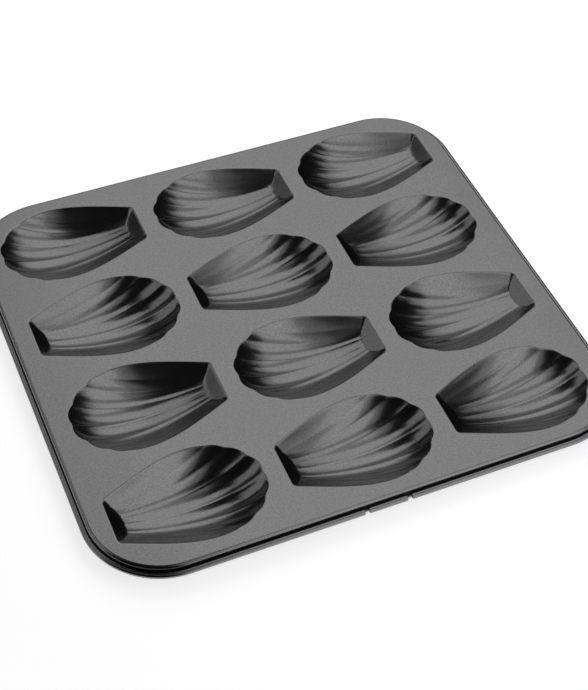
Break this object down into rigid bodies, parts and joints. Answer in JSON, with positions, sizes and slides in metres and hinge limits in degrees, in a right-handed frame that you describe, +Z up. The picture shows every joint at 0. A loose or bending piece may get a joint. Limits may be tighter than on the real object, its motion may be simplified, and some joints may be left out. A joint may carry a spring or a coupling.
{
  "type": "madeleine pan",
  "caption": "Flat baking pan pressed from coated steel sheet, with fluted shell-shaped cups in rows turned end for end, a short skirt and a rolled, notched edge.",
  "frame": {"origin": "on the surface that the cups stand on, below the middle of the pan", "axes": "+X along the longer side of the pan, along the cups, +Y from the front row to the back row, +Z up"},
  "size_m": [0.2854, 0.2656, 0.013],
  "materials": {
    "coating": "semi-gloss dark grey non-stick coating"
  },
  "bodies": {
    "root": {"deck": "coating", "skirt": "coating", "rolled_edge_left": "coating", "rolled_edge_right": "coating", "rolled_edge_front": "coating", "rolled_edge_back": "coating", "shell_cup_a1": "coating", "shell_cup_a2": "coating", "shell_cup_a3": "coating", "shell_cup_b1": "coating", "shell_cup_b2": "coating", "shell_cup_b3": "coating", "shell_cup_c1": "coating", "shell_cup_c2": "coating", "shell_cup_c3": "coating", "shell_cup_d1": "coating", "shell_cup_d2": "coating", "shell_cup_d3": "coating"}
  },
  "joints": []
}
